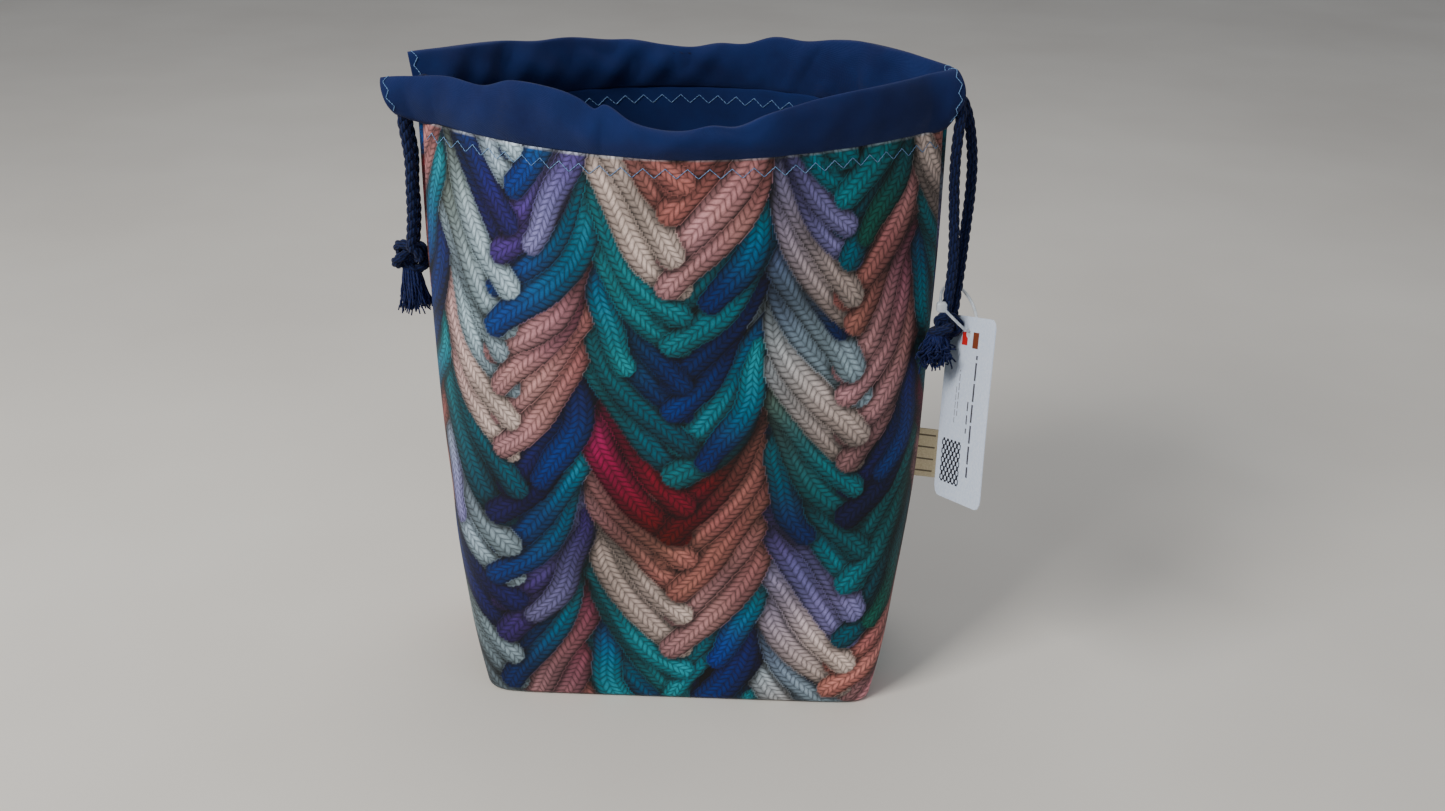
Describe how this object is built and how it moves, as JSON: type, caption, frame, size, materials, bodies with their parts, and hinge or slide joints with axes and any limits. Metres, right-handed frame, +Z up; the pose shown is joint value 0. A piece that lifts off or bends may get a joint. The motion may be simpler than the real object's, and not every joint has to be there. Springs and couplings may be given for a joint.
{
  "type": "drawstring project bag",
  "caption": "Free-standing boxed-bottom cloth bag with lined walls, two drawstring casings, two knotted drawcords, a side label and a hang tag.",
  "frame": {"origin": "middle of the base, on the surface that the bag stands on; x = 0 is the middle of the front and y = 0 is the plane of the side seams", "axes": "+Z up, -Y towards the front of the bag, +X towards the side with the label and the hang tag"},
  "size_m": [0.285, 0.1605, 0.3143],
  "materials": {
    "print_cotton": "matt quilting cotton with a printed knit-rope pattern",
    "fleece": "needled interfacing fleece",
    "navy_cotton": "matt navy quilting cotton",
    "navy_cord": "twisted navy cotton cord",
    "label_cotton": "cream woven label with dark stripes",
    "card": "white coated card, printed",
    "clear_nylon": "translucent moulded nylon"
  },
  "bodies": {
    "root": {"outer_front_panel": "print_cotton", "outer_back_panel": "print_cotton", "fleece_front_panel": "fleece", "fleece_back_panel": "fleece", "lining_front_panel": "navy_cotton", "lining_back_panel": "navy_cotton", "side_label": "label_cotton", "left_cord_bridge": "navy_cord", "right_cord_bridge": "navy_cord"},
    "front_rim": {"front_casing": "navy_cotton", "left_cord_front_run": "navy_cord", "right_cord_front_run": "navy_cord"},
    "back_rim": {"back_casing": "navy_cotton", "left_cord_back_run": "navy_cord", "right_cord_back_run": "navy_cord"},
    "left_pull": {"left_front_tail": "navy_cord", "left_back_tail": "navy_cord", "left_knot": "navy_cord", "left_tassel": "navy_cord"},
    "right_pull": {"right_front_tail": "navy_cord", "right_back_tail": "navy_cord", "right_knot": "navy_cord", "right_tassel": "navy_cord"},
    "tag_loop": {"tag_fastener": "clear_nylon"},
    "tag": {"hang_tag": "card"}
  },
  "joints": [
    {"name": "front_rim_close", "type": "slide", "parent": "root", "child": "front_rim", "axis": [0, 1, 0], "range_m": [0, 0.058], "deforming": ["front_casing", "left_cord_front_run", "right_cord_front_run"]},
    {"name": "back_rim_close", "type": "slide", "parent": "root", "child": "back_rim", "axis": [0, -1, 0], "range_m": [0, 0.068], "deforming": ["back_casing", "left_cord_back_run", "right_cord_back_run"]},
    {"name": "left_cord_pull", "type": "slide", "parent": "root", "child": "left_pull", "axis": [0, 0, -1], "range_m": [0, 0.0505], "deforming": ["left_front_tail", "left_back_tail"]},
    {"name": "right_cord_pull", "type": "slide", "parent": "root", "child": "right_pull", "axis": [0, 0, -1], "range_m": [0, 0.0505], "deforming": ["right_front_tail", "right_back_tail"]},
    {"name": "tag_loop_swing", "type": "hinge", "parent": "right_pull", "child": "tag_loop", "pos_m": [0.13, -0.015, 0.2105], "axis": [0, -1, 0], "range_deg": [0, 35], "deforming": ["tag_fastener"]},
    {"name": "hang_tag_turn", "type": "hinge", "parent": "tag_loop", "child": "tag", "pos_m": [0.1372, -0.0292, 0.1951], "axis": [-0.9603, -0.2386, 0.1448], "range_deg": [-12, 25]}
  ],
  "couplings": [
    {"joint": "back_rim_close", "follows": "front_rim_close", "ratio": 1.17},
    {"joint": "left_cord_pull", "follows": "front_rim_close", "ratio": 0.862},
    {"joint": "right_cord_pull", "follows": "front_rim_close", "ratio": 0.862}
  ]
}
